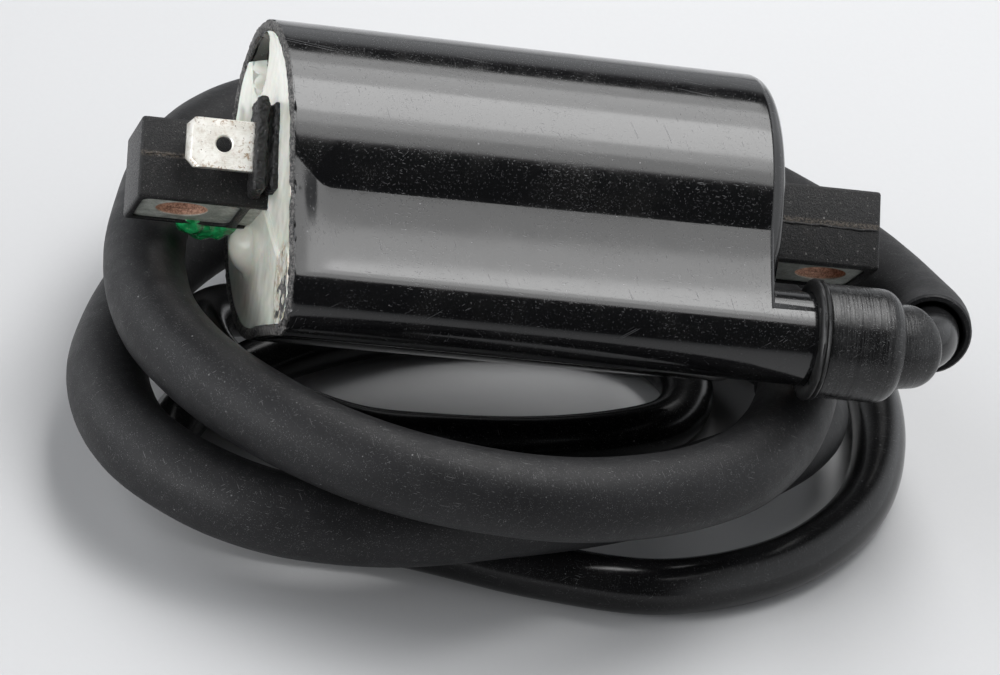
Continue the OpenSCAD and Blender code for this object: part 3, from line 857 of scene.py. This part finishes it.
def block_material():
    s = Shader("block_plastic", IOR=1.42)
    grain = s.noise(0.4, 4, 0.7)
    specks = s.most(s.specks(0.5, 0.2, 0.4), s.specks(1.2, 0.14, 0.5, shift=(3, 3, 1)))
    tint = s.mix(s.ramp(grain, 0.35, 0.7), (0.005, 0.005, 0.0053), (0.015, 0.0145, 0.0145))
    tint = s.mix(s.math("MULTIPLY", specks, 0.4), tint, (0.25, 0.24, 0.23))
    rough = s.ramp(grain, 0.3, 0.7, 0.34, 0.6)
    return s.link(Base_Color=tint, Roughness=rough, Normal=s.bump(grain, 0.06))


def steel_material():
    s = Shader("core_steel", Metallic=0.25)
    patches = s.noise(1.6, 5, 0.65)
    grit = s.noise(0.3, 4, 0.75)
    rust = s.ramp(s.noise(2.4, 4, 0.7, distortion=0.4), 0.58, 0.72)
    bores = [s.near(core_point(x, 0, h), 3.4, 4.3) for x in (0.0, 82.0) for h in (-4.0, 0.0, 4.0)]
    tint = s.mix(s.ramp(patches, 0.3, 0.7), (0.34, 0.36, 0.325), (0.6, 0.62, 0.58))
    tint = s.mix(s.ramp(grit, 0.5, 0.72, 0.0, 0.55), tint, (0.07, 0.075, 0.065))
    tint = s.mix(s.math("MULTIPLY", rust, 0.35), tint, (0.3, 0.17, 0.08))
    below_face = s.ramp(s.math("ABSOLUTE", s.axis(CORE_H)), 4.5, 4.7, 1.0, 0.0)
    inside = s.math("MULTIPLY", s.most(*bores), below_face)
    tint = s.mix(inside, tint, s.mix(s.ramp(grit, 0.35, 0.65), (0.24, 0.12, 0.08), (0.66, 0.42, 0.31)))
    rough = s.ramp(grit, 0.3, 0.7, 0.36, 0.62)
    return s.link(Base_Color=tint, Roughness=rough, Normal=s.bump(grit, 0.03))


def tin_material():
    s = Shader("tinned_brass", Metallic=0.85)
    clouds = s.noise(2.6, 5, 0.6)
    spots = s.noise(0.55, 4, 0.7, distortion=0.5)
    brushed = s.noise(1, 3, 0.6, at=s.place(stretch=(2.5, 0.12, 0.12)))
    tint = s.mix(s.ramp(clouds, 0.3, 0.7), (0.7, 0.68, 0.62), (0.86, 0.85, 0.81))
    tint = s.mix(s.ramp(brushed, 0.5, 0.8, 0.0, 0.25), tint, (0.55, 0.53, 0.48))
    edge = s.math("SUBTRACT", s.math("ABSOLUTE", s.math("SUBTRACT", s.axis(CORE_H), BLADE_H)), 2.4)
    dirty = s.math("MAXIMUM", s.ramp(edge, -0.6, 0.7, 0.0, 0.9), s.near(core_point(7.2, 9.6, -0.7), 0.8, 3.2))
    amount = s.math("ADD", s.math("MULTIPLY", dirty, 0.8), 0.25, clamp=True)
    stain = s.math("MULTIPLY", s.ramp(spots, 0.5, 0.66), amount)
    tint = s.mix(stain, tint, (0.3, 0.19, 0.1))
    tint = s.mix(s.specks(0.5, 0.2, 0.3), tint, (0.12, 0.09, 0.07))
    rough = s.ramp(clouds, 0.3, 0.7, 0.32, 0.5)
    normal = s.bump(brushed, 0.012)
    normal = s.bump(spots, 0.02, normal)
    return s.link(Base_Color=tint, Roughness=rough, Normal=normal)


def lacquer_material():
    s = Shader("lacquer", IOR=1.5, Transmission_Weight=0.15, Coat_Weight=0.8, Coat_Roughness=0.03)
    depth = s.noise(1.4, 4, 0.6, distortion=0.8)
    tint = s.mix(s.ramp(depth, 0.3, 0.72), (0.006, 0.15, 0.04), (0.03, 0.6, 0.19))
    tint = s.mix(s.ramp(s.noise(0.6, 3, 0.6), 0.66, 0.8), tint, (0.45, 0.65, 0.4))
    return s.link(Base_Color=tint, Roughness=s.ramp(depth, 0.3, 0.7, 0.06, 0.16),
                  Normal=s.bump(s.noise(0.9, 3, 0.5), 0.08))


def cap_material():
    s = Shader("cap_plastic", IOR=1.42)
    rings = s.noise(1, 3, 0.6, at=s.place(stretch=(0.16, 9, 9)))
    patches = s.noise(2.6, 5, 0.6)
    specks = s.most(s.specks(0.9, 0.1, 0.4), s.specks(2.2, 0.08, 0.5, shift=(5, 2, 1)))
    fibres = s.dashes(3.0, 0.05, 1.8, 0.03, SCRATCH_TURNS)
    tint = s.mix(s.ramp(rings, 0.35, 0.7), (0.004, 0.004, 0.0042), (0.012, 0.012, 0.0124))
    tint = s.mix(s.ramp(patches, 0.6, 0.8, 0.0, 0.15), tint, (0.05, 0.05, 0.052))
    tint = s.mix(s.math("MULTIPLY", s.most(specks, fibres), 0.4), tint, (0.4, 0.4, 0.4))
    rough = s.ramp(patches, 0.3, 0.7, 0.2, 0.3)
    normal = s.bump(rings, 0.045)
    normal = s.bump(s.noise(0.3, 3, 0.6), 0.008, normal)
    return s.link(Base_Color=tint, Roughness=rough, Normal=normal)


def rubber_material(name, dark, light, rough_low, rough_high, dust, grain_depth, ior=1.42):
    """Black rubber with dust, lint and a fine grain."""
    s = Shader(name, IOR=ior)
    bloom = s.noise(11, 5, 0.6)
    grain = s.noise(0.35, 4, 0.7)
    film = s.noise(2.6, 6, 0.75, distortion=0.3)
    dots = s.most(s.specks(0.75, 0.12, 0.1), s.specks(1.9, 0.08, 0.3, shift=(5, 2, 1)),
                  s.specks(0.4, 0.16, 0.05, shift=(1, 8, 3)))
    fibres = s.dashes(3.4, 0.05, 1.7, 0.02, SCRATCH_TURNS)
    marks = s.most(dots, fibres)
    tint = s.mix(s.ramp(bloom, 0.35, 0.7), dark, light)
    tint = s.mix(s.ramp(film, 0.55, 0.85, 0.0, 0.16 * dust), tint, (0.13, 0.13, 0.135))
    tint = s.mix(s.math("MULTIPLY", marks, min(1.0, 0.6 * dust)), tint, (0.4, 0.4, 0.4))
    rough = s.ramp(s.math("ADD", s.math("MULTIPLY", bloom, 0.5), s.math("MULTIPLY", film, 0.5)),
                   0.35, 0.65, rough_low, rough_high)
    normal = s.bump(grain, grain_depth)
    return s.link(Base_Color=tint, Roughness=rough, Normal=normal)


def plain_material(name, dark, light, metallic, rough_low, rough_high, size=1.2, depth=0.02, stretch=None):
    """Inner parts: two tones, a changing finish and a fine texture."""
    s = Shader(name, Metallic=metallic)
    tone = s.noise(size, 5, 0.6)
    lines = s.noise(1, 3, 0.5, at=s.place(stretch=stretch)) if stretch else s.noise(size / 3, 4, 0.6)
    tint = s.mix(s.ramp(tone, 0.3, 0.7), dark, light)
    tint = s.mix(s.ramp(lines, 0.45, 0.7, 0.0, 0.4), tint, dark)
    return s.link(Base_Color=tint, Roughness=s.ramp(tone, 0.3, 0.7, rough_low, rough_high),
                  Normal=s.bump(lines, depth))


COPPER = ((0.3, 0.1, 0.035), (0.62, 0.27, 0.11))
MATERIALS = {
    "case_plastic": case_material(),
    "resin": resin_material(),
    "core_steel": steel_material(),
    "core_cover_plastic": cover_material("core_cover_plastic", (0.009, 0.009, 0.0094), -0.4),
    "block_plastic": block_material(),
    "tinned_brass": tin_material(),
    "bobbin_plastic": plain_material("bobbin_plastic", (0.6, 0.55, 0.42), (0.78, 0.74, 0.62), 0, 0.4, 0.55),
    "enamelled_copper": plain_material("enamelled_copper", *COPPER, 0.8, 0.2, 0.35, 2.0, 0.06, (0.3, 20, 20)),
    "film": plain_material("film", (0.6, 0.42, 0.12), (0.8, 0.62, 0.26), 0, 0.15, 0.3),
    "solder": plain_material("solder", (0.35, 0.35, 0.37), (0.65, 0.65, 0.67), 0.9, 0.3, 0.5),
    "lacquer": lacquer_material(),
    "brass": plain_material("brass", (0.5, 0.34, 0.13), (0.74, 0.57, 0.28), 0.9, 0.25, 0.4),
    "cap_plastic": cap_material(),
    "seal_rubber": rubber_material(
        "seal_rubber", (0.008, 0.008, 0.008), (0.015, 0.015, 0.015), 0.22, 0.4, 0.4, 0.03),
    "strands": plain_material("strands", *COPPER, 0.95, 0.3, 0.45, 0.8, 0.05, (4, 0.25, 0.25)),
    "lead_insulation": rubber_material(
        "lead_insulation", (0.005, 0.005, 0.0053), (0.008, 0.008, 0.0084), 0.17, 0.24, 0.35, 0.004, 1.36),
    "sleeve_rubber": rubber_material(
        "sleeve_rubber", (0.007, 0.007, 0.0076), (0.012, 0.012, 0.0129), 0.44, 0.6, 0.6, 0.03, 1.32),
}


def paint(obj, slot_name):
    """Gives every face of a piece or CAD node one material."""
    material = MATERIALS[slot_name]
    if obj.material_slots:
        for slot in obj.material_slots:
            slot.material = material
    else:
        obj.data.materials.append(material)


def finish_piece(piece, slot_name, *nodes):
    piece.data.materials.clear()
    paint(piece, slot_name)
    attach(piece, BODY)
    if nodes:
        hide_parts(*nodes)
    return piece


paint(lead, "lead_insulation")
paint(sleeve, "sleeve_rubber")
finish_piece(make_case(), "case_plastic", "case")
finish_piece(make_resin_face(), "resin")
terminal_cover = make_cover(
    "terminal_cover", CORE_START, 14.0, [(-5.5, 6.7, 1.2), (7.7, 11.6, 0.3)], 14.0)
finish_piece(
    join("terminal_cover", [terminal_cover, seam("flash", -5.9, 6.8, -0.4, 0.5, 0.12)]),
    "core_cover_plastic", "terminal_end_cover")
lead_cover = make_cover("lead_cover", 68.0, CORE_END, [(73.0, 86.6, 1.2)], 68.0)
finish_piece(
    join("lead_cover", [lead_cover, seam("flash", 72.0, 87.5, 0.1, 0.5, 0.14)]),
    "core_cover_plastic", "lead_end_cover")
finish_piece(make_block(), "block_plastic", "terminal_block")
finish_piece(make_blade(), "tinned_brass", "spade_terminal")
finish_piece(make_lacquer(), "lacquer", "lacquer_seal")
finish_piece(make_cap(), "cap_plastic", "lead_cap")
finish_piece(make_seal(), "seal_rubber", "cap_seal_ring")

NODE_SLOTS = {
    "potting_resin": "resin", "core_laminations": "core_steel", "primary_bobbin": "bobbin_plastic",
    "primary_winding": "enamelled_copper", "layer_insulation": "film",
    "secondary_bobbin": "bobbin_plastic", "secondary_winding": "enamelled_copper",
    "feed_wire": "enamelled_copper", "earth_wire": "enamelled_copper",
    "earth_solder_joint": "solder", "high_voltage_link": "enamelled_copper",
    "contact_spike": "brass", "lead_conductor": "strands",
}
for node_name, slot_name in NODE_SLOTS.items():
    paint(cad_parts[node_name], slot_name)


# --- Floor, lights and surroundings ------------------------------------------


FLOOR_HALF = 6.0


def make_floor(level):
    """A pale card under the object; the level is in millimetres."""
    half = FLOOR_HALF / MM
    corners = [(x, y, level) for x, y in ((-half, -half), (half, -half), (half, half), (-half, half))]
    floor = add_object("floor", corners, [(0, 1, 2, 3)])
    s = Shader("floor_card", IOR=1.45)
    fibres = s.noise(0.7, 4, 0.6)
    s.link(
        Base_Color=s.mix(s.noise(140, 3, 0.5), (0.52, 0.522, 0.528), (0.55, 0.552, 0.558)),
        Roughness=s.ramp(fibres, 0.3, 0.7, 0.6, 0.75), Normal=s.bump(fibres, 0.01))
    floor.data.materials.append(s.material)


def area_light(name, place, target, size, radiance):
    """A rectangular light of that radiance, in watts per square metre and steradian."""
    data = bpy.data.lights.new(name, "AREA")
    data.shape, data.size, data.size_y = "RECTANGLE", size[0], size[1]
    data.energy = radiance * math.pi * size[0] * size[1]
    light = bpy.data.objects.new(name, data)
    light.location = place
    light.rotation_euler = (Vector(target) - Vector(place)).to_track_quat("-Z", "Y").to_euler()
    bpy.context.scene.collection.objects.link(light)


def make_world():
    """Dark surroundings, pale at both sides and low down behind the object."""
    world = bpy.data.worlds.new("surroundings")
    world.use_nodes = True
    tree = world.node_tree
    links, nodes = tree.links, tree.nodes
    way = nodes.new("ShaderNodeTexCoord")
    parts = nodes.new("ShaderNodeSeparateXYZ")
    links.new(way.outputs["Generated"], parts.inputs[0])

    def ranged(socket, low, high, to_low, to_high):
        node = nodes.new("ShaderNodeMapRange")
        node.interpolation_type = "SMOOTHSTEP"
        links.new(socket, node.inputs["Value"])
        for name, value in (("From Min", low), ("From Max", high), ("To Min", to_low), ("To Max", to_high)):
            node.inputs[name].default_value = value
        return node.outputs[0]

    def maths(operation, first, second):
        node = nodes.new("ShaderNodeMath")
        node.operation = operation
        links.new(first, node.inputs[0])
        links.new(second, node.inputs[1])
        return node.outputs[0]

    low_behind = maths(
        "MULTIPLY", ranged(parts.outputs["Z"], 0.28, 0.42, 1.0, 0.0),
        ranged(parts.outputs["Y"], 0.1, 0.6, 0.0, BACKDROP))
    sides = maths(
        "MAXIMUM", ranged(parts.outputs["X"], 0.42, 0.75, DARK, SIDES / 2),
        ranged(parts.outputs["X"], -0.75, -0.42, SIDES, DARK))
    links.new(maths("MAXIMUM", low_behind, sides), nodes["Background"].inputs["Strength"])
    nodes["Background"].inputs["Color"].default_value = (0.95, 0.97, 1.0, 1)
    bpy.context.scene.world = world


DARK, BACKDROP, SIDES = 0.02, 0.6, 2.4
make_floor(cad_box[0][2] / MM)
LIGHT_X, LIGHT_Z = 0.18, 0.55
LIGHT_STEP = 0.002
LIGHTS = [
    ("key_wide", 0.23, 0.34, 0.92, 3.0), ("key_mid", 0.17, 0.32, 0.58, 2.0), ("key_hot", 0.1, 0.28, 0.26, 3.2),
]
for order, (name, y, width, depth, radiance) in enumerate(LIGHTS):
    place = (LIGHT_X, y, LIGHT_Z - LIGHT_STEP * order)
    area_light(name, place, (LIGHT_X, y, 0), (width, depth), radiance)
area_light("fill", (-0.36, -0.24, 0.1), (0.01, -0.01, -0.01), (0.2, 0.2), 4.5)
make_world()
bpy.context.scene.view_settings.view_transform = "Standard"
